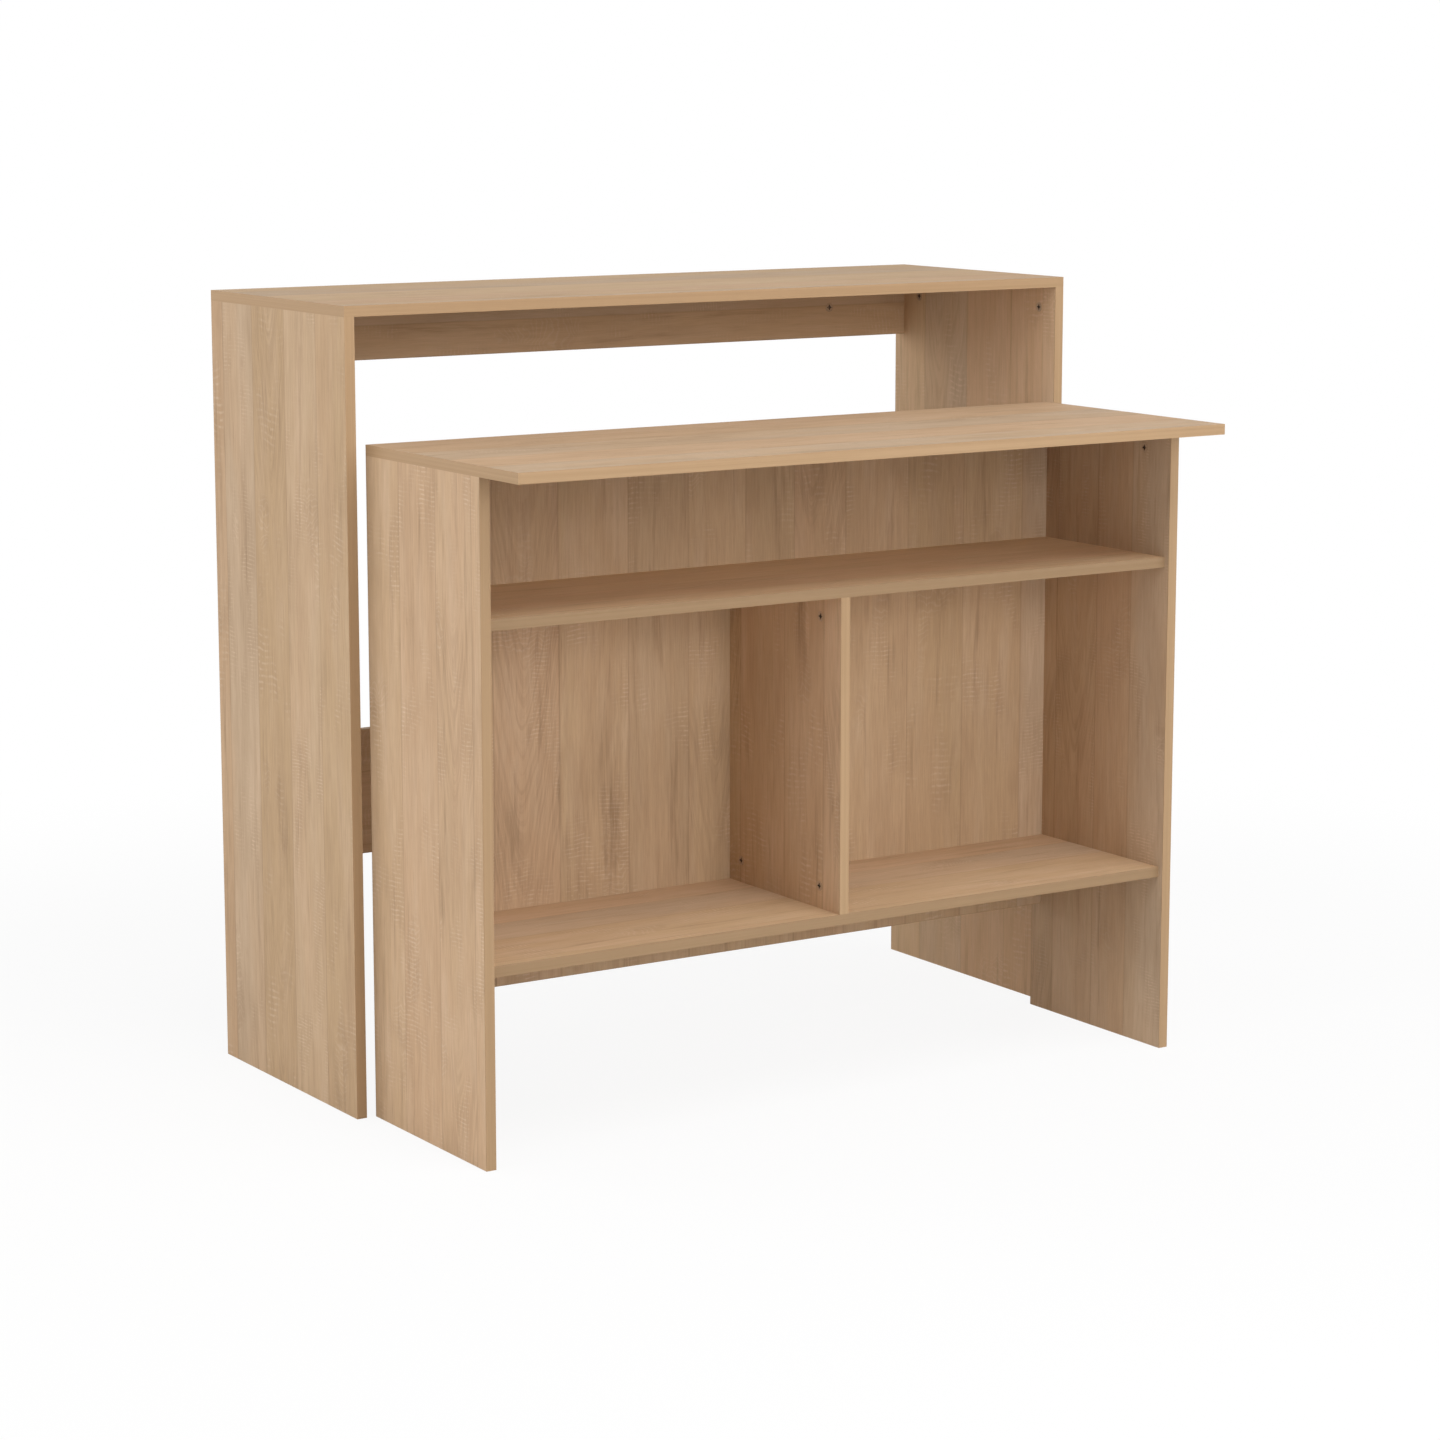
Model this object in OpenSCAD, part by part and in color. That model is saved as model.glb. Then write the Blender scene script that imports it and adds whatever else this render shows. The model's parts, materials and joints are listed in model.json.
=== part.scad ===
// Bar table in two parts: a tall open table, and a lower table with shelves that slides in under it.
// X runs along the length, Y from front to back, Z up. The origin is on the floor, in the middle of
// the length, where the back of the pulled-out lower table meets the front of the tall one.

/* [Boards] */
// Thickness of every board
board_t = 16; // [15:1:22]
// Thickness of the bands on the cut edges
band_t = 1; // [0.4:0.1:2]

/* [Tall table] */
// Length over the side panels
tall_length = 1300; // [900:10:1600]
// Depth from front to back
tall_depth = 440; // [360:5:600]
// Height from the floor to the top face
tall_height = 1200; // [1100:5:1400]
// Height of the rail under the top
upper_rail_h = 100; // [90:5:160]
// Height of the rail near the floor
lower_rail_h = 200; // [130:5:300]
// Height of the lower rail's under edge above the floor
lower_rail_z = 300; // [60:5:600]
// How far both rails stand in from the back edge
rail_setback = 8; // [0:1:30]

/* [Lower table] */
// Gap between the lower table and each side panel of the tall one
side_gap = 15; // [3:1:60]
// Height from the floor to the top face
lower_height = 1000; // [850:5:1060]
// Depth of the case, without the overhang of the top
case_depth = 333; // [260:1:420]
// How far the top reaches out over the front of the case
top_overhang = 107; // [0:1:200]
// Clear height of the upper compartment
upper_clear = 200; // [120:5:300]
// Height of the bottom shelf's under face above the floor
bottom_shelf_z = 276; // [130:1:400]
// How far the back panel reaches below the bottom shelf
back_drop = 100; // [10:5:120]
// How far the back panel stands in from the back edges of the side panels
back_setback = 8; // [0:1:30]
// How far the shelves and the divider stand back from the front edges of the side panels
shelf_setback = 10; // [0:1:30]

/* [Cam fittings] */
// Diameter of a cam
cam_d = 15; // [12:0.5:18]
// Depth of a cam, from its face to the floor of its pocket
cam_depth = 12.2; // [11.8:0.1:13]
// Distance from a joint to the middle of its cam
cam_reach = 34; // [24:1:44]
// The same distance for the two cams that draw the upper rail up to the top
rail_cam_reach = 50; // [30:1:60]
// Depth of the bolts and dowels below the face that shows the cams
fitting_depth = 8; // [7:0.5:8.5]
// Diameter of a bolt's thread
thread_d = 5; // [4:0.5:6]
// Length of a bolt's thread
thread_length = 11; // [8:1:13]
// Diameter of a bolt's shank and head
shank_d = 7; // [6.5:0.5:7.5]
// Diameter of the neck between a bolt's shank and head
neck_d = 4; // [3:0.5:5]
// Length of a bolt's head
head_length = 3.4; // [2:0.2:5]
// Diameter of the hole for a bolt's shank
bolt_hole_d = 8; // [7.9:0.1:10]
// Length of the cross slot in a cam
slot_length = 9; // [6:0.5:11]
// Width of the cross slot in a cam
slot_w = 1.8; // [1:0.1:3]
// Depth of the cross slot in a cam
slot_depth = 2.5; // [1:0.1:3]
// Diameter of the round recess in the middle of the cross slot
driver_d = 5.5; // [4:0.5:7]

/* [Dowels] */
// Diameter of a dowel
dowel_d = 8; // [6:0.5:8]
// Length of a dowel
dowel_length = 30; // [25:1:40]
// How deep a dowel sits in the face of the board that it meets
dowel_seat = 10; // [8:1:12]
// Depth left free behind a dowel in the edge of the other board
dowel_end_gap = 0.8; // [0.2:0.1:2]
// Chamfer on the ends of a dowel
dowel_chamfer = 1; // [0.5:0.1:1.5]

/* [Places of the fittings] */
// Inset of the tall top's fittings from the front edge and from the rails
tall_row_inset = 43; // [25:1:80]
// Inset of the shelves' front fittings from the shelves' front edge
shelf_row_front = 54; // [25:1:70]
// Inset of the shelves' back fittings from the back panel
shelf_row_back = 32; // [20:1:50]
// Distance from a cam to the dowel beside it
dowel_pitch = 32; // [20:1:36]
// Inset of the cams under a top from the ends of the rail or panel that holds them
end_inset = 155; // [60:5:200]
// Inset of the lower rail's cams from its upper and under edges
rail_row_inset = 34; // [20:1:40]
// Inset of the upper rail's end dowels from its upper and under edges
rail_dowel_inset = 25; // [15:1:30]
// Inset of the back panel's end cams from its upper and under edges
back_row_inset = 60; // [30:5:120]
// Play around every cam, bolt and dowel
play = 0.15; // [0.05:0.05:0.25]

/* [Hidden] */

$fn = 48;
// How far a cut runs past the face that it opens
over = 0.5;
// Colours of the faced boards, their bands, the cams, the bolts and the dowels
oak = "#BE9B80";
band = "#B99B73";
cast_metal = "#8C857C";
plated_steel = "#B4B4AE";
beech = "#D9B98C";

// Tall table: half lengths over and between the side panels, and the heights and depths of its boards
tall_half = tall_length / 2;
tall_inner = tall_half - board_t;
tall_under = tall_height - board_t;
rail_back = tall_depth - rail_setback;
rail_front = rail_back - board_t;
upper_rail_z = tall_under - upper_rail_h;
lower_rail_top = lower_rail_z + lower_rail_h;

// Lower table: the same, with its back edges at Y = 0
lower_half = tall_inner - side_gap;
lower_inner = lower_half - board_t;
lower_under = lower_height - board_t;
case_front = -case_depth;
lower_top_front = case_front - top_overhang;
back_rear = -back_setback;
back_front = back_rear - board_t;
back_z = bottom_shelf_z - back_drop;
shelf_front = case_front + shelf_setback;
bottom_shelf_top = bottom_shelf_z + board_t;
middle_shelf_top = lower_under - upper_clear;
middle_shelf_z = middle_shelf_top - board_t;

// Low and high corner of every board
tall_top_box = [[-tall_half, 0, tall_under], [tall_half, tall_depth, tall_height]];
tall_side_box = [[-tall_half, 0, 0], [-tall_inner, tall_depth, tall_under]];
upper_rail_box = [[-tall_inner, rail_front, upper_rail_z], [tall_inner, rail_back, tall_under]];
lower_rail_box = [[-tall_inner, rail_front, lower_rail_z], [tall_inner, rail_back, lower_rail_top]];
lower_top_box = [[-lower_half, lower_top_front, lower_under], [lower_half, 0, lower_height]];
lower_side_box = [[-lower_half, case_front, 0], [-lower_inner, 0, lower_under]];
back_box = [[-lower_inner, back_front, back_z], [lower_inner, back_rear, lower_under]];
middle_shelf_box = [[-lower_inner, shelf_front, middle_shelf_z], [lower_inner, back_front, middle_shelf_top]];
bottom_shelf_box = [[-lower_inner, shelf_front, bottom_shelf_z], [lower_inner, back_front, bottom_shelf_top]];
divider_box = [[-board_t / 2, shelf_front, bottom_shelf_top], [board_t / 2, back_front, middle_shelf_z]];

// Edges of the boards that carry a band
long_edges = ["front", "back"];
end_edges = ["left", "right"];
all_round = concat(long_edges, end_edges);
front_edge = ["front"];
under_edge = ["under"];
rail_edges = ["under", "over"];

// Rows of fittings from front to back, and the lines on which the bolts and dowels lie
tall_rows = [tall_row_inset, rail_front - tall_row_inset];
tall_dowel_rows = [tall_rows[0] + dowel_pitch, tall_rows[1] - dowel_pitch];
lower_rows = [shelf_front + shelf_row_front, back_front - shelf_row_back];
lower_dowel_rows = [lower_rows[0] + dowel_pitch, lower_rows[1] - dowel_pitch];
tall_side_line = -tall_inner - fitting_depth;
lower_side_line = -lower_inner - fitting_depth;
rail_line = rail_front + fitting_depth;
back_line = back_rear - fitting_depth;
divider_line = -board_t / 2 + fitting_depth;
rail_cam_x = -tall_inner + end_inset;
back_cam_x = -lower_inner + end_inset;
compartment_middle = -(lower_inner + board_t / 2) / 2;
back_rows = [back_z + back_row_inset, lower_under - back_row_inset];
back_dowel_rows = [back_rows[0] + dowel_pitch, back_rows[1] - dowel_pitch];

// Boards and bands

// Whether a list of edges holds one edge, as the thickness of its band or 0
function band_at(edges, edge) = len([for (e = edges) if (e == edge) e]) > 0 ? band_t : 0;
// Corners of the board inside its bands
function core_low(box, edges) =
  box[0] + [band_at(edges, "left"), band_at(edges, "front"), band_at(edges, "under")];
function core_high(box, edges) =
  box[1] - [band_at(edges, "right"), band_at(edges, "back"), band_at(edges, "over")];

module block(low, high) {
  translate(low)
    cube(high - low);
}

module board(box, edges) {
  block(core_low(box, edges), core_high(box, edges));
}

// The bands named in drawn, on a board with bands on all of the edges. Front and back bands run the
// whole length, left and right bands fit between them.
module bands(box, edges, drawn) {
  low = core_low(box, edges);
  high = core_high(box, edges);
  for (edge = drawn) {
    if (edge == "front") block(box[0], [box[1].x, low.y, box[1].z]);
    if (edge == "back") block([box[0].x, high.y, box[0].z], box[1]);
    if (edge == "left") block([box[0].x, low.y, box[0].z], [low.x, high.y, box[1].z]);
    if (edge == "right") block([high.x, low.y, box[0].z], [box[1].x, high.y, box[1].z]);
    if (edge == "under") block(box[0], [box[1].x, box[1].y, low.z]);
    if (edge == "over") block([box[0].x, box[0].y, high.z], box[1]);
  }
}

// Fittings
// Each is drawn at a joint: the joint is the plane Z = 0, the board that holds the cam lies above
// it, the board that holds the thread or the dowel's seat lies below, and the cam shows on +X.

module cam(reach) {
  difference() {
    translate([fitting_depth - cam_depth, 0, reach])
      rotate([0, 90, 0])
        cylinder(d = cam_d, h = cam_depth);
    cylinder(d = shank_d + 2 * play, h = reach + head_length / 2 + play);
    for (turn = [0, 90])
      translate([fitting_depth, 0, reach])
        rotate([turn, 0, 0])
          cube([2 * slot_depth, slot_w, slot_length], center = true);
    translate([fitting_depth - slot_depth, 0, reach])
      rotate([0, 90, 0])
        cylinder(d = driver_d, h = slot_depth + over);
  }
}

module cam_bolt(reach) {
  shank_end = reach - cam_d / 2 - play;
  head_start = reach - head_length / 2;
  head_end = reach + head_length / 2;
  rotate_extrude()
    polygon([
      [0, -thread_length], [thread_d / 2, -thread_length], [thread_d / 2, 0], [shank_d / 2, 0],
      [shank_d / 2, shank_end], [neck_d / 2, shank_end], [neck_d / 2, head_start],
      [shank_d / 2, head_start], [shank_d / 2, head_end], [0, head_end]
    ]);
}

module dowel() {
  top = dowel_length - dowel_seat;
  inner_r = dowel_d / 2 - dowel_chamfer;
  rotate_extrude()
    polygon([
      [0, -dowel_seat], [inner_r, -dowel_seat], [dowel_d / 2, dowel_chamfer - dowel_seat],
      [dowel_d / 2, top - dowel_chamfer], [inner_r, top], [0, top]
    ]);
}

// Bore and pocket in the board that holds the cam
module cam_cut(reach) {
  translate([0, 0, -over])
    cylinder(d = bolt_hole_d, h = reach + over);
  translate([fitting_depth - cam_depth, 0, reach])
    rotate([0, 90, 0])
      cylinder(d = cam_d + 2 * play, h = cam_depth + over);
}

// Hole in the face of the board that the bolt is screwed into
module thread_cut() {
  translate([0, 0, -thread_length - play])
    cylinder(d = thread_d + 2 * play, h = thread_length + play + over);
}

// Hole in the edge of the board that a dowel stands in
module dowel_edge_cut() {
  translate([0, 0, -over])
    cylinder(d = dowel_d + 2 * play, h = dowel_length - dowel_seat + dowel_end_gap + over);
}

// Hole in the face of the board that a dowel meets
module dowel_face_cut() {
  translate([0, 0, -dowel_seat])
    cylinder(d = dowel_d + 2 * play, h = dowel_seat + over);
}

// Turns a fitting from its drawing position towards the board that holds its cam

// The board hangs below the joint, and the cam faces the compass angle
module into_below(angle) {
  rotate([180, 0, angle])
    children();
}

// The board stands above the joint, and the cam faces the compass angle
module into_above(angle) {
  rotate([0, 0, angle])
    children();
}

// The board lies to the right of the joint, and the cam faces down, or by 90 to the back
module into_right(angle) {
  rotate([0, 90, 0])
    rotate([0, 0, angle])
      children();
}

// The board lies in front of the joint
module into_front() {
  rotate([90, 0, 0])
    children();
}

module both_ends() {
  children();
  mirror([1, 0, 0])
    children();
}

// Places of the fittings, left end only

module tall_top_cam_places() {
  for (y = tall_rows)
    translate([tall_side_line, y, tall_under])
      into_below(0)
        children();
}

module tall_top_dowel_places() {
  for (y = tall_dowel_rows)
    translate([tall_side_line, y, tall_under])
      into_below(0)
        children();
}

module upper_rail_cam_places() {
  translate([rail_cam_x, rail_line, tall_under])
    into_below(-90)
      children();
}

module upper_rail_top_dowel_places() {
  translate([rail_cam_x + dowel_pitch, rail_line, tall_under])
    into_below(-90)
      children();
}

module upper_rail_end_dowel_places() {
  for (z = [upper_rail_z + rail_dowel_inset, tall_under - rail_dowel_inset])
    translate([-tall_inner, rail_line, z])
      into_right(-90)
        children();
}

module lower_rail_cam_places() {
  for (z = [lower_rail_z + rail_row_inset, lower_rail_top - rail_row_inset])
    translate([-tall_inner, rail_line, z])
      into_right(-90)
        children();
}

module lower_rail_dowel_places() {
  translate([-tall_inner, rail_line, lower_rail_z + lower_rail_h / 2])
    into_right(-90)
      children();
}

module lower_top_cam_places() {
  for (y = lower_rows)
    translate([lower_side_line, y, lower_under])
      into_below(0)
        children();
}

module lower_top_dowel_places() {
  for (y = lower_dowel_rows)
    translate([lower_side_line, y, lower_under])
      into_below(0)
        children();
}

// Places along the end of a shelf whose under face is at the height z
module shelf_cam_places(z) {
  for (y = lower_rows)
    translate([-lower_inner, y, z + fitting_depth])
      into_right(0)
        children();
}

module shelf_end_dowel_places(z) {
  for (y = lower_dowel_rows)
    translate([-lower_inner, y, z + fitting_depth])
      into_right(0)
        children();
}

module shelf_back_dowel_places(z) {
  translate([compartment_middle, back_front, z + fitting_depth])
    into_front()
      children();
}

module back_side_cam_places() {
  for (z = back_rows)
    translate([-lower_inner, back_line, z])
      into_right(90)
        children();
}

module back_side_dowel_places() {
  for (z = back_dowel_rows)
    translate([-lower_inner, back_line, z])
      into_right(90)
        children();
}

module back_top_cam_places() {
  translate([back_cam_x, back_line, lower_under])
    into_below(90)
      children();
}

module back_top_dowel_places() {
  translate([back_cam_x + dowel_pitch, back_line, lower_under])
    into_below(90)
      children();
}

// Places on the divider, which stands in the middle and isn't mirrored

module divider_upper_places(rows) {
  for (y = rows)
    translate([divider_line, y, middle_shelf_z])
      into_below(180)
        children();
}

module divider_lower_places(rows) {
  for (y = rows)
    translate([divider_line, y, bottom_shelf_top])
      into_above(180)
        children();
}

// Boards of the tall table

module tall_top() {
  color(oak)
    difference() {
      board(tall_top_box, all_round);
      both_ends() {
        tall_top_cam_places() thread_cut();
        tall_top_dowel_places() dowel_face_cut();
        upper_rail_cam_places() thread_cut();
        upper_rail_top_dowel_places() dowel_face_cut();
      }
    }
}

module tall_left_panel() {
  color(oak)
    difference() {
      board(tall_side_box, long_edges);
      tall_top_cam_places() cam_cut(cam_reach);
      tall_top_dowel_places() dowel_edge_cut();
      upper_rail_end_dowel_places() dowel_face_cut();
      lower_rail_cam_places() thread_cut();
      lower_rail_dowel_places() dowel_face_cut();
    }
}

module tall_right_panel() {
  mirror([1, 0, 0])
    tall_left_panel();
}

module upper_rail() {
  color(oak)
    difference() {
      board(upper_rail_box, under_edge);
      both_ends() {
        upper_rail_cam_places() cam_cut(rail_cam_reach);
        upper_rail_top_dowel_places() dowel_edge_cut();
        upper_rail_end_dowel_places() dowel_edge_cut();
      }
    }
}

module lower_rail() {
  color(oak)
    difference() {
      board(lower_rail_box, rail_edges);
      both_ends() {
        lower_rail_cam_places() cam_cut(cam_reach);
        lower_rail_dowel_places() dowel_edge_cut();
      }
    }
}

// Boards of the lower table

module lower_top() {
  color(oak)
    difference() {
      board(lower_top_box, all_round);
      both_ends() {
        lower_top_cam_places() thread_cut();
        lower_top_dowel_places() dowel_face_cut();
        back_top_cam_places() thread_cut();
        back_top_dowel_places() dowel_face_cut();
      }
    }
}

module lower_left_panel() {
  color(oak)
    difference() {
      board(lower_side_box, long_edges);
      lower_top_cam_places() cam_cut(cam_reach);
      lower_top_dowel_places() dowel_edge_cut();
      for (z = [bottom_shelf_z, middle_shelf_z]) {
        shelf_cam_places(z) thread_cut();
        shelf_end_dowel_places(z) dowel_face_cut();
      }
      back_side_cam_places() thread_cut();
      back_side_dowel_places() dowel_face_cut();
    }
}

module lower_right_panel() {
  mirror([1, 0, 0])
    lower_left_panel();
}

module back_panel() {
  color(oak)
    difference() {
      board(back_box, under_edge);
      both_ends() {
        back_side_cam_places() cam_cut(cam_reach);
        back_side_dowel_places() dowel_edge_cut();
        back_top_cam_places() cam_cut(cam_reach);
        back_top_dowel_places() dowel_edge_cut();
        shelf_back_dowel_places(bottom_shelf_z) dowel_face_cut();
        shelf_back_dowel_places(middle_shelf_z) dowel_face_cut();
      }
    }
}

// Holes that both shelves have along their ends and back
module shelf_cuts(z) {
  both_ends() {
    shelf_cam_places(z) cam_cut(cam_reach);
    shelf_end_dowel_places(z) dowel_edge_cut();
    shelf_back_dowel_places(z) dowel_edge_cut();
  }
}

module middle_shelf() {
  color(oak)
    difference() {
      board(middle_shelf_box, front_edge);
      shelf_cuts(middle_shelf_z);
      divider_upper_places(lower_rows) thread_cut();
      divider_upper_places(lower_dowel_rows) dowel_face_cut();
    }
}

module bottom_shelf() {
  color(oak)
    difference() {
      board(bottom_shelf_box, front_edge);
      shelf_cuts(bottom_shelf_z);
      divider_lower_places(lower_rows) thread_cut();
      divider_lower_places(lower_dowel_rows) dowel_face_cut();
    }
}

module divider() {
  color(oak)
    difference() {
      board(divider_box, front_edge);
      divider_upper_places(lower_rows) cam_cut(cam_reach);
      divider_lower_places(lower_rows) cam_cut(cam_reach);
      divider_upper_places(lower_dowel_rows) dowel_edge_cut();
      divider_lower_places(lower_dowel_rows) dowel_edge_cut();
    }
}

// Edge bands

module tall_top_long_edge_bands() {
  color(band)
    bands(tall_top_box, all_round, long_edges);
}

module tall_top_end_edge_bands() {
  color(band)
    bands(tall_top_box, all_round, end_edges);
}

module tall_left_panel_edge_bands() {
  color(band)
    bands(tall_side_box, long_edges, long_edges);
}

module tall_right_panel_edge_bands() {
  mirror([1, 0, 0])
    tall_left_panel_edge_bands();
}

module upper_rail_edge_band() {
  color(band)
    bands(upper_rail_box, under_edge, under_edge);
}

module lower_rail_edge_bands() {
  color(band)
    bands(lower_rail_box, rail_edges, rail_edges);
}

module lower_top_long_edge_bands() {
  color(band)
    bands(lower_top_box, all_round, long_edges);
}

module lower_top_end_edge_bands() {
  color(band)
    bands(lower_top_box, all_round, end_edges);
}

module lower_left_panel_edge_bands() {
  color(band)
    bands(lower_side_box, long_edges, long_edges);
}

module lower_right_panel_edge_bands() {
  mirror([1, 0, 0])
    lower_left_panel_edge_bands();
}

module back_panel_edge_band() {
  color(band)
    bands(back_box, under_edge, under_edge);
}

module middle_shelf_edge_band() {
  color(band)
    bands(middle_shelf_box, front_edge, front_edge);
}

module bottom_shelf_edge_band() {
  color(band)
    bands(bottom_shelf_box, front_edge, front_edge);
}

module divider_edge_band() {
  color(band)
    bands(divider_box, front_edge, front_edge);
}

// Fittings of the tall table

module tall_top_cams() {
  color(cast_metal)
    both_ends()
      tall_top_cam_places() cam(cam_reach);
}

module tall_top_cam_bolts() {
  color(plated_steel)
    both_ends()
      tall_top_cam_places() cam_bolt(cam_reach);
}

module tall_top_dowels() {
  color(beech)
    both_ends()
      tall_top_dowel_places() dowel();
}

module upper_rail_cams() {
  color(cast_metal)
    both_ends()
      upper_rail_cam_places() cam(rail_cam_reach);
}

module upper_rail_cam_bolts() {
  color(plated_steel)
    both_ends()
      upper_rail_cam_places() cam_bolt(rail_cam_reach);
}

module upper_rail_dowels() {
  color(beech)
    both_ends() {
      upper_rail_top_dowel_places() dowel();
      upper_rail_end_dowel_places() dowel();
    }
}

module lower_rail_cams() {
  color(cast_metal)
    both_ends()
      lower_rail_cam_places() cam(cam_reach);
}

module lower_rail_cam_bolts() {
  color(plated_steel)
    both_ends()
      lower_rail_cam_places() cam_bolt(cam_reach);
}

module lower_rail_dowels() {
  color(beech)
    both_ends()
      lower_rail_dowel_places() dowel();
}

// Fittings of the lower table

module lower_top_cams() {
  color(cast_metal)
    both_ends()
      lower_top_cam_places() cam(cam_reach);
}

module lower_top_cam_bolts() {
  color(plated_steel)
    both_ends()
      lower_top_cam_places() cam_bolt(cam_reach);
}

module lower_top_dowels() {
  color(beech)
    both_ends()
      lower_top_dowel_places() dowel();
}

module shelf_cams(z) {
  color(cast_metal)
    both_ends()
      shelf_cam_places(z) cam(cam_reach);
}

module shelf_cam_bolts(z) {
  color(plated_steel)
    both_ends()
      shelf_cam_places(z) cam_bolt(cam_reach);
}

module shelf_dowels(z) {
  color(beech)
    both_ends() {
      shelf_end_dowel_places(z) dowel();
      shelf_back_dowel_places(z) dowel();
    }
}

module divider_cams() {
  color(cast_metal) {
    divider_upper_places(lower_rows) cam(cam_reach);
    divider_lower_places(lower_rows) cam(cam_reach);
  }
}

module divider_cam_bolts() {
  color(plated_steel) {
    divider_upper_places(lower_rows) cam_bolt(cam_reach);
    divider_lower_places(lower_rows) cam_bolt(cam_reach);
  }
}

module divider_dowels() {
  color(beech) {
    divider_upper_places(lower_dowel_rows) dowel();
    divider_lower_places(lower_dowel_rows) dowel();
  }
}

module back_panel_cams() {
  color(cast_metal)
    both_ends() {
      back_side_cam_places() cam(cam_reach);
      back_top_cam_places() cam(cam_reach);
    }
}

module back_panel_cam_bolts() {
  color(plated_steel)
    both_ends() {
      back_side_cam_places() cam_bolt(cam_reach);
      back_top_cam_places() cam_bolt(cam_reach);
    }
}

module back_panel_dowels() {
  color(beech)
    both_ends() {
      back_side_dowel_places() dowel();
      back_top_dowel_places() dowel();
    }
}

tall_top();
tall_left_panel();
tall_right_panel();
upper_rail();
lower_rail();
lower_top();
lower_left_panel();
lower_right_panel();
back_panel();
middle_shelf();
bottom_shelf();
divider();
tall_top_long_edge_bands();
tall_top_end_edge_bands();
tall_left_panel_edge_bands();
tall_right_panel_edge_bands();
upper_rail_edge_band();
lower_rail_edge_bands();
lower_top_long_edge_bands();
lower_top_end_edge_bands();
lower_left_panel_edge_bands();
lower_right_panel_edge_bands();
back_panel_edge_band();
middle_shelf_edge_band();
bottom_shelf_edge_band();
divider_edge_band();
tall_top_cams();
tall_top_cam_bolts();
tall_top_dowels();
upper_rail_cams();
upper_rail_cam_bolts();
upper_rail_dowels();
lower_rail_cams();
lower_rail_cam_bolts();
lower_rail_dowels();
lower_top_cams();
lower_top_cam_bolts();
lower_top_dowels();
shelf_cams(middle_shelf_z);  // middle_shelf_cams
shelf_cam_bolts(middle_shelf_z);  // middle_shelf_cam_bolts
shelf_dowels(middle_shelf_z);  // middle_shelf_dowels
shelf_cams(bottom_shelf_z);  // bottom_shelf_cams
shelf_cam_bolts(bottom_shelf_z);  // bottom_shelf_cam_bolts
shelf_dowels(bottom_shelf_z);  // bottom_shelf_dowels
divider_cams();
divider_cam_bolts();
divider_dowels();
back_panel_cams();
back_panel_cam_bolts();
back_panel_dowels();
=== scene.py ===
import json
import math

import bpy
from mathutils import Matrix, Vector


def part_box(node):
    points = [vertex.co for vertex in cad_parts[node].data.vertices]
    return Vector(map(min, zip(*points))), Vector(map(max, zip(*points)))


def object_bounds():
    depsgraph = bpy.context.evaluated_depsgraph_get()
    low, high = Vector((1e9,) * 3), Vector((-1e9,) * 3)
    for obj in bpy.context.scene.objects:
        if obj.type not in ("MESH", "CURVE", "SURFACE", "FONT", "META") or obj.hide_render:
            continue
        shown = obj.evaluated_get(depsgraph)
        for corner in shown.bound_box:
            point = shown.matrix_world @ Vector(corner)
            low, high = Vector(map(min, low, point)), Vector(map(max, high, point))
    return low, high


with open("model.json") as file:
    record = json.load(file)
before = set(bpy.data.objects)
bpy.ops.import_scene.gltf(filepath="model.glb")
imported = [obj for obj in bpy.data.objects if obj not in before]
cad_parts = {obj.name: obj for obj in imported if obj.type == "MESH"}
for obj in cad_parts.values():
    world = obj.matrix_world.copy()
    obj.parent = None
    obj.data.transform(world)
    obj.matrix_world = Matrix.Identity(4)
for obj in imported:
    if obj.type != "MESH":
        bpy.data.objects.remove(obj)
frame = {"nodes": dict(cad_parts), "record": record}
CAD_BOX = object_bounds()

bl_info = {
    "name": "Bar table",
    "version": (1, 0, 0),
    "blender": (4, 5, 0),
    "location": "3D View > Sidebar > Bar table",
    "description": "Dresses a two-part bar table of oak-look boards and sets up its picture",
    "category": "Object",
}

SLOT_OF = {part["node"]: part["material_slot"] for part in frame["record"]["subparts"]}

# Under the first angle two faces count as one flat, and over the second their edge is sharp
FLAT_ANGLE = math.radians(1)
SHARP_ANGLE = math.radians(40)

# The dull sheen that the printed facing and the edge bands share
PRINT_SHEEN = {"IOR": 1.45, "Specular_IOR_Level": 0.08}

# How light some pieces are beside the others of their finish: partly their own tone, partly painted
# light and shade for how the light falls on them
TONE_AND_PAINTED_LIGHT = {
    "tall_top": 0.92,
    "tall_left_panel": 0.95,
    "tall_right_panel": 1.24,
    "upper_rail": 1.10,
    "lower_rail": 1.20,
    "lower_right_panel": 0.965,
    "middle_shelf": 1.30,
    "bottom_shelf": 1.05,
    "divider": 1.08,
    "middle_shelf_edge_band": 0.78,
    "bottom_shelf_edge_band": 0.78,
    "lower_left_panel_edge_bands": 0.94,
}

# How strongly the figure shows on some boards, beside the others
FIGURE = {
    "back_panel": 1.25,
    "divider": 1.2,
    "lower_right_panel": 1.2,
    "tall_left_panel": 1.25,
    "lower_left_panel": 1.25,
    "middle_shelf": 0.8,
    "tall_top": 0.8,
}


def nodes_in(slot):
    """The nodes that take their finish from one of the record's slots, in the record's order."""
    return [name for name in SLOT_OF if SLOT_OF[name] == slot]


def toned(colour, share):
    """A colour made darker, or lighter, by a share."""
    return [part * share for part in colour]


# Settings


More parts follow.
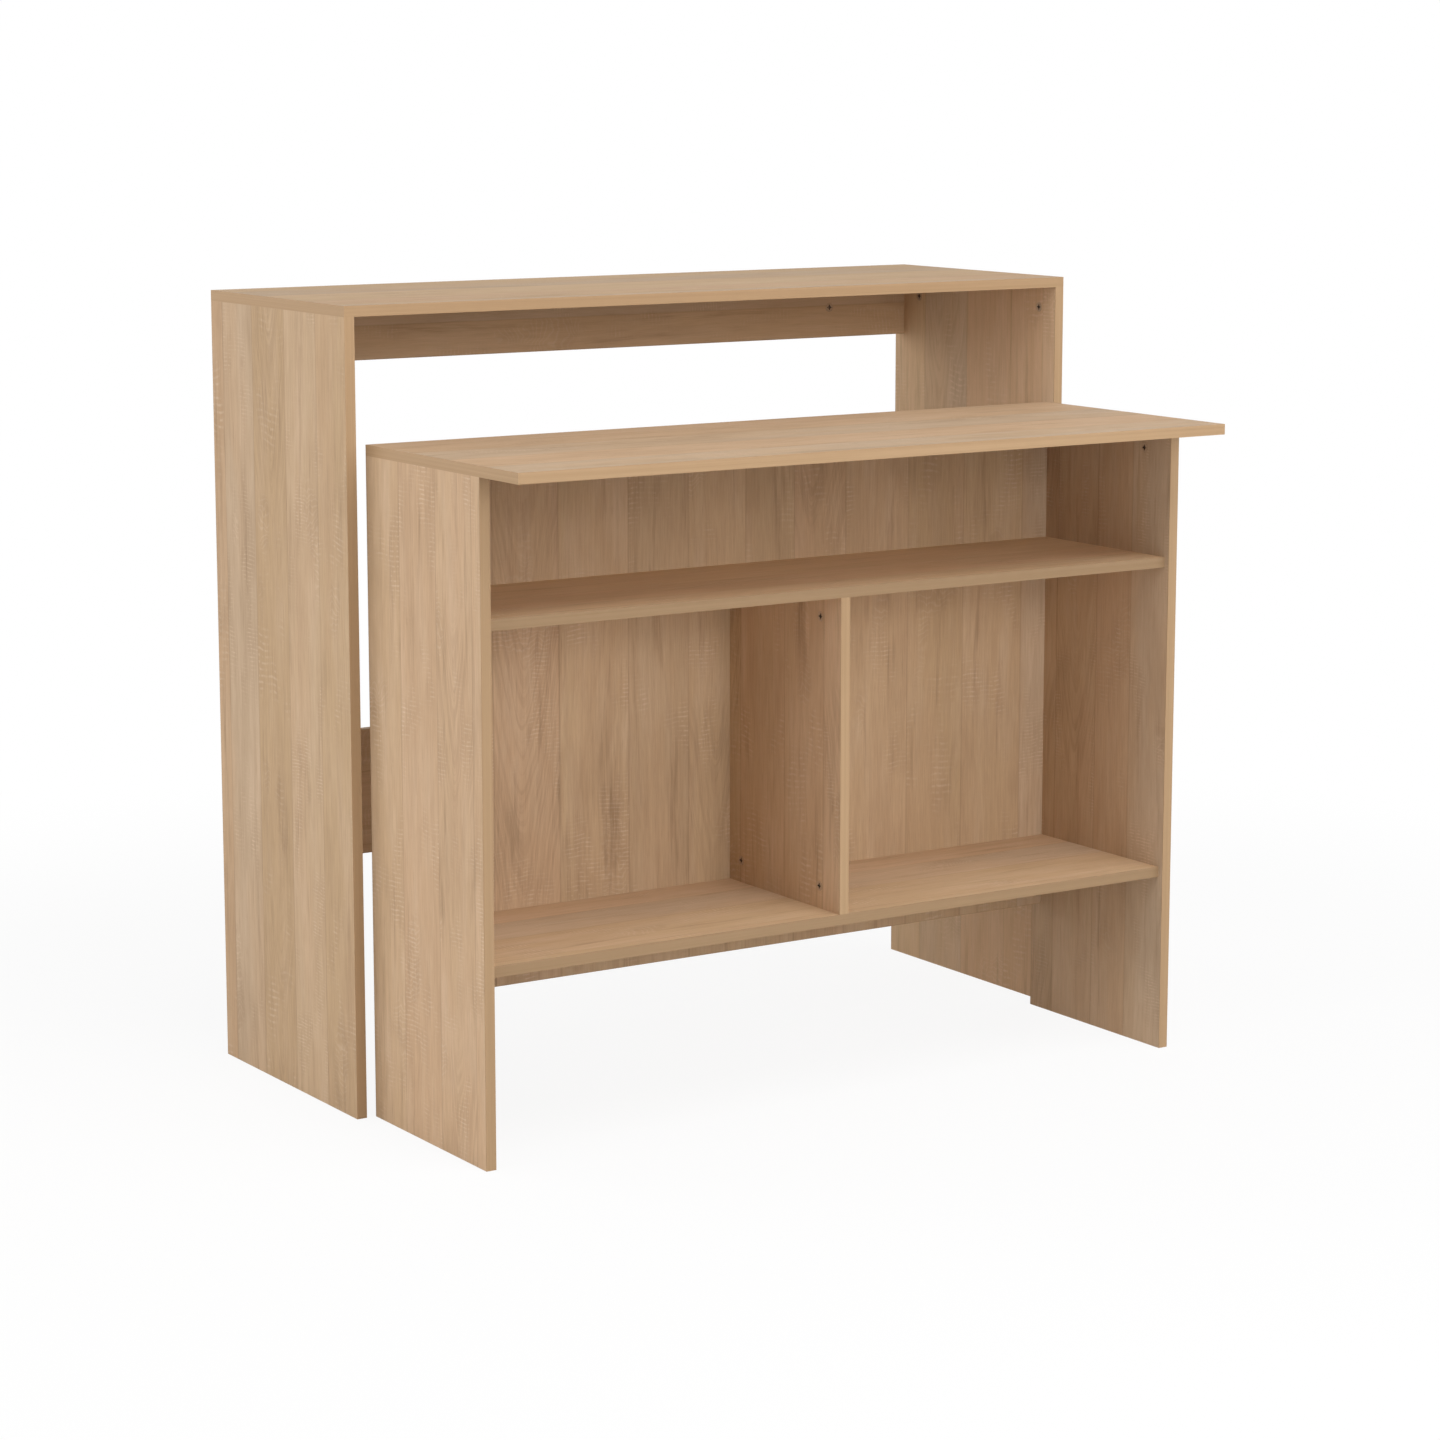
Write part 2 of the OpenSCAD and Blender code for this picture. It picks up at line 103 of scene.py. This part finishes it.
class BoardSettings(bpy.types.PropertyGroup):
    """Colours and sizes of the boards' oak-look facing."""

    rose: bpy.props.FloatVectorProperty(
        name="Rose tone", description="Reddest of the planks printed on the facing",
        default=(0.560, 0.373, 0.230), subtype="COLOR", min=0, max=1)
    straw: bpy.props.FloatVectorProperty(
        name="Straw tone", description="Yellowest of the planks printed on the facing",
        default=(0.548, 0.381, 0.226), subtype="COLOR", min=0, max=1)
    ash: bpy.props.FloatVectorProperty(
        name="Ash tone", description="Greyest of the planks printed on the facing",
        default=(0.503, 0.370, 0.252), subtype="COLOR", min=0, max=1)
    shade: bpy.props.FloatVectorProperty(
        name="Shade tone", description="Tone of the grain lines and pores",
        default=(0.305, 0.197, 0.115), subtype="COLOR", min=0, max=1)
    pale: bpy.props.FloatVectorProperty(
        name="Pale tone", description="Tone of the ripples that cross the grain",
        default=(0.660, 0.490, 0.345), subtype="COLOR", min=0, max=1)
    plank_width: bpy.props.FloatProperty(
        name="Plank width", description="Usual width of the planks printed on the facing",
        default=0.105, unit="LENGTH", min=0.05)
    ripple_pitch: bpy.props.FloatProperty(
        name="Ripple pitch", description="Distance between the short ripples that cross the grain",
        default=0.0065, unit="LENGTH", min=0.002)
    core: bpy.props.FloatVectorProperty(
        name="Core tone", description="Tone of the chips in the boards' raw cut edges and holes",
        default=(0.420, 0.290, 0.165), subtype="COLOR", min=0, max=1)
    facing: bpy.props.FloatProperty(
        name="Facing thickness", description="Thickness of the printed facing on the chipboard",
        default=0.0003, unit="LENGTH", min=0)
    edge_round: bpy.props.FloatProperty(
        name="Edge rounding", description="Rounding of the boards' sharp edges",
        default=0.0003, unit="LENGTH", min=0)


class BandSettings(bpy.types.PropertyGroup):
    """Colours and sizes of the edge bands."""

    light: bpy.props.FloatVectorProperty(
        name="Light tone", description="Lighter tone of the bands",
        default=(0.445, 0.297, 0.173), subtype="COLOR", min=0, max=1)
    dark: bpy.props.FloatVectorProperty(
        name="Dark tone", description="Darker tone of the bands",
        default=(0.357, 0.229, 0.124), subtype="COLOR", min=0, max=1)
    edge_round: bpy.props.FloatProperty(
        name="Edge rounding", description="Rounding of the bands' long edges",
        default=0.0004, unit="LENGTH", min=0)


class FittingSettings(bpy.types.PropertyGroup):
    """Colours of the cams, bolts and dowels."""

    cam: bpy.props.FloatVectorProperty(
        name="Cams", description="Colour of the cast cams",
        default=(0.50, 0.35, 0.23), subtype="COLOR", min=0, max=1)
    bolt: bpy.props.FloatVectorProperty(
        name="Bolts", description="Colour of the plated bolts",
        default=(0.62, 0.62, 0.60), subtype="COLOR", min=0, max=1)
    dowel: bpy.props.FloatVectorProperty(
        name="Dowels", description="Colour of the beech dowels",
        default=(0.66, 0.48, 0.29), subtype="COLOR", min=0, max=1)


class StageSettings(bpy.types.PropertyGroup):
    """Light, floor and camera."""

    ambient: bpy.props.FloatProperty(
        name="Ambient", description="Strength of the even light from all round",
        default=0.42, min=0)
    front: bpy.props.FloatProperty(
        name="Front light", description="Power of the small lamp in front, above the tops' height",
        default=60.0, unit="POWER", min=0)
    upper: bpy.props.FloatProperty(
        name="Upper light", description="Power of the small lamp in front, a metre higher",
        default=33.0, unit="POWER", min=0)
    top: bpy.props.FloatProperty(
        name="Top light", description="Power of the large lamp above the front",
        default=134.0, unit="POWER", min=0)
    left: bpy.props.FloatProperty(
        name="Left light", description="Power of the large lamp at the left end",
        default=73.0, unit="POWER", min=0)
    right: bpy.props.FloatProperty(
        name="Right light", description="Power of the large lamp to the right of the front",
        default=51.0, unit="POWER", min=0)
    behind: bpy.props.FloatProperty(
        name="Back light", description="Power of the large lamp behind the left end",
        default=78.0, unit="POWER", min=0)
    small_lamp: bpy.props.FloatProperty(
        name="Small lamps", description="Length of each side of the small square lamps",
        default=1.4, unit="LENGTH", min=0.1)
    large_lamp: bpy.props.FloatProperty(
        name="Large lamps", description="Length of each side of the large square lamps",
        default=3.0, unit="LENGTH", min=0.1)
    floor: bpy.props.FloatVectorProperty(
        name="Floor", description="Colour of the floor",
        default=(0.80, 0.80, 0.80), subtype="COLOR", min=0, max=1)
    floor_reach: bpy.props.FloatProperty(
        name="Floor reach", description="Distance from the middle of the floor to its edges",
        default=8.0, unit="LENGTH", min=1)
    floor_gap: bpy.props.FloatProperty(
        name="Floor gap", description="How far under the feet the floor lies",
        default=0.0002, unit="LENGTH", min=0)
    shadow: bpy.props.FloatProperty(
        name="Shadow", description="How much of the table's shadow shows on the floor beside it",
        default=0.10, subtype="FACTOR", min=0, max=1)
    shadow_reach: bpy.props.FloatProperty(
        name="Shadow reach", description="How far from the middle the floor still shows the shadow",
        default=2.6, unit="LENGTH", min=0.1)
    heading: bpy.props.FloatProperty(
        name="Heading", description="Direction the camera looks in, from +Y towards +X",
        default=math.radians(32.978), subtype="ANGLE")
    pitch: bpy.props.FloatProperty(
        name="Pitch", description="How far the camera looks down",
        default=math.radians(9.566), subtype="ANGLE")
    place: bpy.props.FloatVectorProperty(
        name="Place", description="Where the camera stands",
        default=(-3.1076, -4.773, 1.5536), subtype="TRANSLATION")
    lens: bpy.props.FloatProperty(
        name="Lens", description="Focal length on a sensor 36 mm wide",
        default=93.363, unit="CAMERA", min=1)
    rise: bpy.props.FloatProperty(
        name="Rise", description="Upward shift of the lens, as a share of the picture's width",
        default=-0.025)


# Shader building


class Wire:
    """One output of a material's nodes, which can be used in arithmetic."""

    def __init__(self, finish, socket):
        self.finish = finish
        self.socket = socket

    def math(self, operation, *values):
        return self.finish.node(
            "ShaderNodeMath", {"operation": operation}, dict(enumerate((self, *values))))

    def __add__(self, other):
        return self.math("ADD", other)

    __radd__ = __add__

    def __sub__(self, other):
        return self.math("SUBTRACT", other)

    def __rsub__(self, other):
        return self.finish.node("ShaderNodeMath", {"operation": "SUBTRACT"}, {0: other, 1: self})

    def __mul__(self, other):
        return self.math("MULTIPLY", other)

    __rmul__ = __mul__

    def sine(self):
        return self.math("SINE")

    def size(self):
        return self.math("ABSOLUTE")

    def larger(self, other):
        return self.math("MAXIMUM", other)

    def length(self):
        return self.finish.node(
            "ShaderNodeVectorMath", {"operation": "LENGTH"}, {0: self}, "Value")

    def between(self, low, high):
        """0 below low, 1 above high, and a smooth climb from one to the other."""
        return self.finish.node(
            "ShaderNodeMapRange", {"interpolation_type": "SMOOTHSTEP"},
            {"Value": self, "From Min": low, "From Max": high})


class Finish:
    """The nodes of a material, or of the world, while they are being built."""

    def __init__(self, owner):
        owner.use_nodes = True
        self.owner = owner
        self.tree = owner.node_tree
        self.tree.nodes.clear()

    def node(self, kind, settings=None, inputs=None, output=0):
        """Adds a node, sets its settings, then its sockets, and returns the output asked for."""
        made = self.tree.nodes.new(kind)
        for name, value in (settings or {}).items():
            setattr(made, name, value)
        for name, value in (inputs or {}).items():
            self.feed(self.find(made.inputs, name), value)
        if output is not None:
            return Wire(self, self.find(made.outputs, output))

    @staticmethod
    def find(sockets, name):
        """A socket by its number, its identifier or its name."""
        if isinstance(name, int):
            return sockets[name]
        for socket in sockets:
            if socket.identifier == name:
                return socket
        return sockets[name]

    def feed(self, socket, value):
        if isinstance(value, Wire):
            self.tree.links.new(value.socket, socket)
        elif hasattr(value, "__len__") and socket.type == "RGBA":
            socket.default_value = (*value[:3], 1.0)
        else:
            socket.default_value = value

    def vector(self, x, y, z):
        return self.node("ShaderNodeCombineXYZ", None, {"X": x, "Y": y, "Z": z})

    def noise(self, x, y, z, detail=2.0, roughness=0.5):
        return self.node(
            "ShaderNodeTexNoise", {"noise_dimensions": "3D"},
            {"Vector": self.vector(x, y, z), "Scale": 1.0,
             "Detail": detail, "Roughness": roughness})

    def mix(self, share, first, second):
        """The first colour where the share is 0, and the second where it is 1."""
        return self.node(
            "ShaderNodeMix", {"data_type": "RGBA"},
            {"Factor_Float": share, "A_Color": first, "B_Color": second}, "Result_Color")

    def place(self):
        """Place on the piece, in metres along X, Y and Z."""
        coordinates = self.node("ShaderNodeTexCoord", output="Object")
        return [
            self.node("ShaderNodeSeparateXYZ", None, {"Vector": coordinates}, axis)
            for axis in "XYZ"]

    def seen(self):
        """1 where the camera sees a surface, straight or in a reflection, and otherwise 0."""
        camera, glossy, clear = [
            self.node("ShaderNodeLightPath", output=f"Is {ray} Ray")
            for ray in ("Camera", "Glossy", "Transmission")]
        return camera.larger(glossy).larger(clear)

    def bump(self, height, strength, distance):
        return self.node(
            "ShaderNodeBump", None, {"Height": height, "Strength": strength, "Distance": distance})

    def surface(self, **sockets):
        """Ends the material in one Principled surface."""
        names = {key.replace("_", " "): value for key, value in sockets.items()}
        shader = self.node("ShaderNodeBsdfPrincipled", None, names)
        self.node("ShaderNodeOutputMaterial", None, {"Surface": shader}, output=None)
        return self.owner


# Finishes


def oak_print(finish, u, v, tone_and_painted_light, figure, settings):
    """Colour, relief and roughness of printed oak, with u across the grain and v along it.

    Each noise is stretched along the grain: its factors are spots per metre across and along.
    """
    # Every tone is scaled by the piece's factor, which is partly its own tone and partly painted
    # light and shade
    rose, straw, ash, shade, pale = [
        toned(getattr(settings, name), tone_and_painted_light)
        for name in ("rose", "straw", "ash", "shade", "pale")]
    planks = {"W": u, "Scale": 1 / settings.plank_width, "Randomness": 0.7}
    plank = finish.node("ShaderNodeTexVoronoi", {"voronoi_dimensions": "1D"}, planks, "Color")
    middle = finish.node("ShaderNodeTexVoronoi", {"voronoi_dimensions": "1D"}, planks, "W")
    edge = finish.node(
        "ShaderNodeTexVoronoi", {"voronoi_dimensions": "1D", "feature": "DISTANCE_TO_EDGE"},
        planks, "Distance")
    tone, flamed, shift = [
        finish.node("ShaderNodeSeparateColor", None, {"Color": plank}, part)
        for part in ("Red", "Green", "Blue")]
    w = shift * 40
    seam = 1 - (edge * settings.plank_width).between(0.0004, 0.0020)

    # Streaks, grain lines and pores, from broad to fine
    wander = finish.noise(u * 5, v * 1.3, w + 3, 1)
    bent = u + wander * 0.035
    light = finish.noise(bent * 38, v * 4.2, w, 3, 0.6).between(0.46, 0.70)
    dark = finish.noise(bent * 60, v * 3.0, w + 5, 3, 0.6).between(0.53, 0.73)
    medium = finish.noise(bent * 170, v * 8, w + 7, 3, 0.7).between(0.34, 0.68)
    fine = finish.noise(bent * 620, v * 20, w + 11, 2, 0.65).between(0.32, 0.68)
    pores = finish.noise(u * 1100, v * 38, w + 13, 1).between(0.62, 0.74)

    # Arched growth rings, which show on some planks only
    aside = u - middle
    flank = (aside * aside + 0.00012).math("SQRT") + finish.noise(u * 18, v * 4, w + 17, 2) * 0.03
    arch = v - flank * 5.5
    rings = finish.noise(arch * 42, u * 9, w + 19, 3, 0.65).between(0.42, 0.60)
    showing = finish.noise(0.0, v * 2.6, w + 21, 1).between(0.46, 0.58)
    flames = rings * flamed.between(0.42, 0.56) * showing

    # Patches of short ripples across the grain, and curled lines round the burls
    slant = finish.noise(u * 15, v * 7, w + 23, 2) * 2.4
    per_metre = 1 / settings.ripple_pitch
    turns = v * (shift * 0.7 + 0.6) * per_metre + slant
    breaks = finish.noise(u * 110, v * 75, w + 29, 2, 0.6).between(0.36, 0.60)
    patch = finish.noise(u * 17, v * 8, w + 31, 3).between(0.51, 0.69)
    ripples = (turns * math.tau).sine().between(0.0, 1.0) * patch * breaks
    swirl = finish.noise(u * 26, v * 15, w + 37, 2)
    curls = ((v * (0.7 * per_metre) + swirl * 8) * math.tau).sine().between(0.3, 1.0)
    burl = finish.noise(u * 11, v * 5, w + 41, 1).between(0.62, 0.70)

    # Tone of each plank, then everything paler and darker than it
    colour = finish.mix(tone.between(0.36, 0.46), rose, straw)
    colour = finish.mix(tone.between(0.62, 0.72), colour, ash)
    hue = finish.noise(u * 13, v * 2.2, w + 47, 2).between(0.42, 0.62)
    cloud = finish.noise(u * 16, v * 4.5, w + 53, 2)
    colour = finish.mix(hue * 0.6, colour, finish.mix(flamed, rose, straw))
    pale_share = (
        shift * 0.16 + light * 0.16 + cloud.between(0.50, 0.66) * 0.14
        + ripples * 0.56 + burl * curls * 0.34) * figure
    colour = finish.mix(pale_share, colour, pale)
    shade_share = (
        (1 - shift) * 0.10 + dark * (medium * 0.16 + fine * 0.16 + 0.05) + medium * 0.11
        + cloud.between(0.50, 0.34) * 0.10 + fine * 0.13 + flames * 0.16 + pores * 0.14
        + seam * 0.20 + patch * (1 - ripples) * 0.07
        + burl * (1 - swirl.between(0.42, 0.58)) * 0.13) * figure
    colour = finish.mix(shade_share, colour, shade)
    relief = ripples * 0.2 - fine * 0.3 - pores
    return colour, relief, 0.58 + 0.10 * fine + 0.05 * pores


def chipboard(finish, x, y, z, settings):
    """Colour and relief of raw chipboard."""
    chips = finish.node(
        "ShaderNodeTexVoronoi", {"voronoi_dimensions": "3D"},
        {"Vector": finish.vector(x * 330, y * 330, z * 330), "Scale": 1.0}, "Color")
    tint, depth = [
        finish.node("ShaderNodeSeparateColor", None, {"Color": chips}, part)
        for part in ("Red", "Green")]
    dust = finish.noise(x * 1500, y * 1500, z * 1500, 2)
    share = tint.between(0.2, 1.0) * 0.55 + dust * 0.3
    return finish.mix(share, settings.core, toned(settings.core, 0.5)), depth + dust * 0.5


def faced_board(name, node, across, along, thin, seed, settings):
    """A board of chipboard with the oak print on both faces and a raw core between them."""
    finish = Finish(bpy.data.materials.new(name))
    place = dict(zip("XYZ", finish.place()))
    u = place[across] + 0.37 * seed
    v = place[along] + 0.53 * seed
    oak, relief, gloss = oak_print(
        finish, u, v, TONE_AND_PAINTED_LIGHT.get(node, 1.0), FIGURE.get(node, 1.0), settings)
    core, crumbs = chipboard(finish, *place.values(), settings)
    low, high = [corner["XYZ".index(thin)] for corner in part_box(node)]
    depth = (high - low) / 2 - settings.facing
    inside = 1 - (place[thin] - (low + high) / 2).size().between(depth - 0.0001, depth)
    return finish.surface(
        Base_Color=finish.mix(inside, oak, core), Roughness=gloss + inside * 0.4,
        Normal=finish.bump(relief * (1 - inside) + crumbs * inside * 1.6, 0.25, 0.0002),
        **PRINT_SHEEN)


def oak_band(name, node, across, along, seed, settings):
    """Edge band: straight fine lines along its length."""
    finish = Finish(bpy.data.materials.new(name))
    place = dict(zip("XYZ", finish.place()))
    u = place[across[0]] + place[across[1]] + 0.41 * seed
    v = place[along] + 0.29 * seed
    bands = finish.noise(u * 260, v * 1.1, seed, 2)
    lines = finish.noise(u * 900, v * 3.0, seed + 7, 3, 0.6)
    slow = finish.noise(u * 20, v * 2.6, seed + 13, 2)
    share = bands.between(0.3, 0.7) * 0.35 + lines.between(0.35, 0.75) * 0.3 + slow * 0.3
    # The band's factor is partly its own tone and partly painted light and shade
    tone_and_painted_light = TONE_AND_PAINTED_LIGHT.get(node, 1.0)
    light, dark = [toned(colour, tone_and_painted_light) for colour in (settings.light, settings.dark)]
    return finish.surface(
        Base_Color=finish.mix(share, light, dark),
        Roughness=0.40 + 0.12 * lines, Normal=finish.bump(lines, 0.2, 0.0001),
        **PRINT_SHEEN)


def cast_metal(name, colour):
    """Dull cast zinc with a fine pebble and a little tarnish, and painted shade that darkens its
    recesses.
    """
    finish = Finish(bpy.data.materials.new(name))
    x, y, z = finish.place()
    grain = finish.noise(x * 2400, y * 2400, z * 2400, 3, 0.6)
    tarnish = finish.noise(x * 260, y * 260, z * 260, 3)
    # Painted shade: ambient occlusion darkens the colour in the recesses and in the gap at the rim
    openness_for_painted_shade = finish.node("ShaderNodeAmbientOcclusion", {"samples": 8}, {"Distance": 0.006}, "AO")
    unshaded = finish.mix(tarnish.between(0.35, 0.7) * 0.5, colour, toned(colour, 0.7))
    return finish.surface(
        # Painted shade in the recesses, and the zinc's own tarnished colour elsewhere
        Base_Color=finish.mix(openness_for_painted_shade.between(0.45, 0.9), toned(colour, 0.15), unshaded),
        Roughness=0.45 + 0.2 * grain, Metallic=0.2, Normal=finish.bump(grain, 0.35, 0.0001))


def plated_steel(name, colour):
    """Bright plated steel with fine turning marks."""
    finish = Finish(bpy.data.materials.new(name))
    x, y, z = finish.place()
    marks = finish.noise(x * 900, y * 900, z * 900, 2)
    return finish.surface(
        Base_Color=finish.mix(marks * 0.4, colour, toned(colour, 0.8)),
        Roughness=0.25 + 0.15 * marks, Metallic=1.0, Normal=finish.bump(marks, 0.2, 0.0001))


def raw_beech(name, colour):
    """Raw beech with short flecks."""
    finish = Finish(bpy.data.materials.new(name))
    x, y, z = finish.place()
    flecks = finish.noise(x * 500, y * 500, z * 500, 3, 0.6)
    return finish.surface(
        Base_Color=finish.mix(flecks.between(0.5, 0.75) * 0.5, colour, toned(colour, 0.6)),
        Roughness=0.6 + 0.15 * flecks, Normal=finish.bump(flecks, 0.3, 0.0001))


def dress(node, material, edge_round=0.0):
    """Gives a node of the frame its finish, and rounds its sharp edges."""
    piece = frame["nodes"][node]
    for slot in piece.material_slots:
        slot.material = material
    if edge_round:
        unshaded = piece.modifiers.new("Clean faces", "DECIMATE")
        unshaded.decimate_type = "DISSOLVE"
        unshaded.angle_limit = FLAT_ANGLE
        rounding = piece.modifiers.new("Rounded edges", "BEVEL")
        rounding.width = edge_round
        rounding.segments = 2
        rounding.limit_method = "ANGLE"
        rounding.angle_limit = SHARP_ANGLE


def axis_by_size(node, pick):
    """The axis along which a node measures most, where pick is max, or least, where it is min."""
    low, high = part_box(node)
    size = high - low
    return "XYZ"[pick(range(3), key=lambda axis: size[axis])]


# Operators


class TABLE_OT_boards(bpy.types.Operator):
    """Face the boards with oak print, upright on panels and divider, lengthwise on the others"""

    bl_idname = "bar_table.boards"
    bl_label = "Face the boards"

    def execute(self, context):
        settings = context.scene.table_boards
        for seed, node in enumerate(nodes_in("oak_board"), 1):
            lengthwise = any(word in node for word in ("top", "shelf", "rail"))
            along = "X" if lengthwise else "Z"
            thin = axis_by_size(node, min)
            across = "XYZ".replace(along, "").replace(thin, "")
            material = faced_board("oak_" + node, node, across, along, thin, seed, settings)
            dress(node, material, settings.edge_round)
        return {"FINISHED"}


class TABLE_OT_bands(bpy.types.Operator):
    """Cover the boards' cut edges with bands whose lines run lengthwise"""

    bl_idname = "bar_table.bands"
    bl_label = "Band the edges"

    def execute(self, context):
        settings = context.scene.table_bands
        for seed, node in enumerate(nodes_in("oak_band"), 1):
            along = "Y" if "end_edge" in node else axis_by_size(node, max)
            across = "XYZ".replace(along, "")
            material = oak_band("band_" + node, node, across, along, seed, settings)
            dress(node, material, settings.edge_round)
        return {"FINISHED"}


class TABLE_OT_cams(bpy.types.Operator):
    """Give the cams their cast metal"""

    bl_idname = "bar_table.cams"
    bl_label = "Finish the cams"

    def execute(self, context):
        material = cast_metal("cam_metal", context.scene.table_fittings.cam)
        for node in nodes_in("cam_zinc"):
            dress(node, material)
        return {"FINISHED"}


class TABLE_OT_bolts(bpy.types.Operator):
    """Give the bolts their plated steel"""

    bl_idname = "bar_table.bolts"
    bl_label = "Finish the bolts"

    def execute(self, context):
        material = plated_steel("bolt_steel", context.scene.table_fittings.bolt)
        for node in nodes_in("bolt_steel"):
            dress(node, material)
        return {"FINISHED"}


class TABLE_OT_dowels(bpy.types.Operator):
    """Give the dowels their raw beech"""

    bl_idname = "bar_table.dowels"
    bl_label = "Finish the dowels"

    def execute(self, context):
        material = raw_beech("dowel_beech", context.scene.table_fittings.dowel)
        for node in nodes_in("beech_dowel"):
            dress(node, material)
        return {"FINISHED"}


def area_light(name, power, size, place, target):
    """A square lamp that faces the target."""
    data = bpy.data.lights.new(name, "AREA")
    data.shape = "SQUARE"
    data.size = size
    data.energy = power
    lamp = bpy.data.objects.new(name, data)
    lamp.location = place
    lamp.rotation_euler = (Vector(target) - Vector(place)).to_track_quat("-Z", "Y").to_euler()
    bpy.context.collection.objects.link(lamp)


class TABLE_OT_stage(bpy.types.Operator):
    """Lay the pale floor, hang the soft lights and place the camera"""

    bl_idname = "bar_table.stage"
    bl_label = "Set the stage"

    def execute(self, context):
        scene = context.scene
        settings = scene.table_stage
        self.world(scene, settings)
        self.floor(settings)
        middle = (CAD_BOX[0] + CAD_BOX[1]) / 2
        small, large = settings.small_lamp, settings.large_lamp
        for name, power, size, offset in (
                ("Front", settings.front, small, (0.0, -5.2, 1.2)),
                ("Upper", settings.upper, small, (0.0, -5.2, 2.2)),
                ("Top", settings.top, large, (0.0, -2.6, 4.6)),
                ("Left", settings.left, large, (-5.0, -0.6, 1.2)),
                ("Right", settings.right, large, (4.0, -3.6, 1.6)),
                ("Behind", settings.behind, large, (-3.8, 3.8, 1.4))):
            area_light(name, power, size, middle + Vector(offset), middle)
        self.camera(scene, settings)
        scene.view_settings.view_transform = "Standard"
        return {"FINISHED"}

    def world(self, scene, settings):
        world = bpy.data.worlds.new("Studio")
        scene.world = world
        finish = Finish(world)
        seen = finish.seen()
        strength = settings.ambient + seen * (1 - settings.ambient)
        light = finish.node(
            "ShaderNodeBackground", None, {"Color": (1, 1, 1), "Strength": strength})
        finish.node("ShaderNodeOutputWorld", None, {"Surface": light}, output=None)

    def floor(self, settings):
        reach = settings.floor_reach
        mesh = bpy.data.meshes.new("Floor")
        corners = [(x, y, -settings.floor_gap) for x, y in (
            (-reach, -reach), (reach, -reach), (reach, reach), (-reach, reach))]
        mesh.from_pydata(corners, [], [(0, 1, 2, 3)])
        floor = bpy.data.objects.new("Floor", mesh)
        bpy.context.collection.objects.link(floor)
        material = bpy.data.materials.new("floor_white")
        finish = Finish(material)
        x, y, z = finish.place()
        away = finish.vector(x, y, z).length()
        far = away.between(settings.shadow_reach / 2, settings.shadow_reach)
        matt = finish.node("ShaderNodeBsdfDiffuse", None, {"Color": settings.floor})
        white = finish.node("ShaderNodeEmission", None, {"Color": (1, 1, 1), "Strength": 1.0})
        share = finish.seen() * (1 - settings.shadow * (1 - far))
        mixed = finish.node("ShaderNodeMixShader", None, {0: share, 1: matt, 2: white})
        finish.node("ShaderNodeOutputMaterial", None, {"Surface": mixed}, output=None)
        mesh.materials.append(material)

    def camera(self, scene, settings):
        data = bpy.data.cameras.new("Camera")
        data.sensor_width = 36
        data.lens = settings.lens
        data.shift_y = settings.rise
        camera = bpy.data.objects.new("Camera", data)
        camera.location = settings.place
        camera.rotation_euler = (math.pi / 2 - settings.pitch, 0, -settings.heading)
        bpy.context.collection.objects.link(camera)
        scene.camera = camera


class TABLE_PT_panel(bpy.types.Panel):
    """Lists the steps and settings of the bar table"""

    bl_idname = "TABLE_PT_panel"
    bl_label = "Bar table"
    bl_space_type = "VIEW_3D"
    bl_region_type = "UI"
    bl_category = "Bar table"

    def draw(self, context):
        layout = self.layout
        for operator in STEPS:
            layout.operator(operator.bl_idname)
        for group in SETTINGS:
            settings = getattr(context.scene, group)
            box = layout.box()
            for name in settings.bl_rna.properties.keys():
                if name not in ("rna_type", "name"):
                    box.prop(settings, name)


STEPS = (
    TABLE_OT_boards, TABLE_OT_bands, TABLE_OT_cams, TABLE_OT_bolts, TABLE_OT_dowels,
    TABLE_OT_stage)
SETTINGS = {
    "table_boards": BoardSettings,
    "table_bands": BandSettings,
    "table_fittings": FittingSettings,
    "table_stage": StageSettings,
}


def register():
    for group, kind in SETTINGS.items():
        bpy.utils.register_class(kind)
        setattr(bpy.types.Scene, group, bpy.props.PointerProperty(type=kind))
    for kind in (*STEPS, TABLE_PT_panel):
        bpy.utils.register_class(kind)


def unregister():
    for kind in (TABLE_PT_panel, *STEPS):
        bpy.utils.unregister_class(kind)
    for group, kind in SETTINGS.items():
        delattr(bpy.types.Scene, group)
        bpy.utils.unregister_class(kind)


def main():
    register()
    bpy.ops.bar_table.boards()
    bpy.ops.bar_table.bands()
    bpy.ops.bar_table.cams()
    bpy.ops.bar_table.bolts()
    bpy.ops.bar_table.dowels()
    bpy.ops.bar_table.stage()


if __name__ == "__main__":
    main()
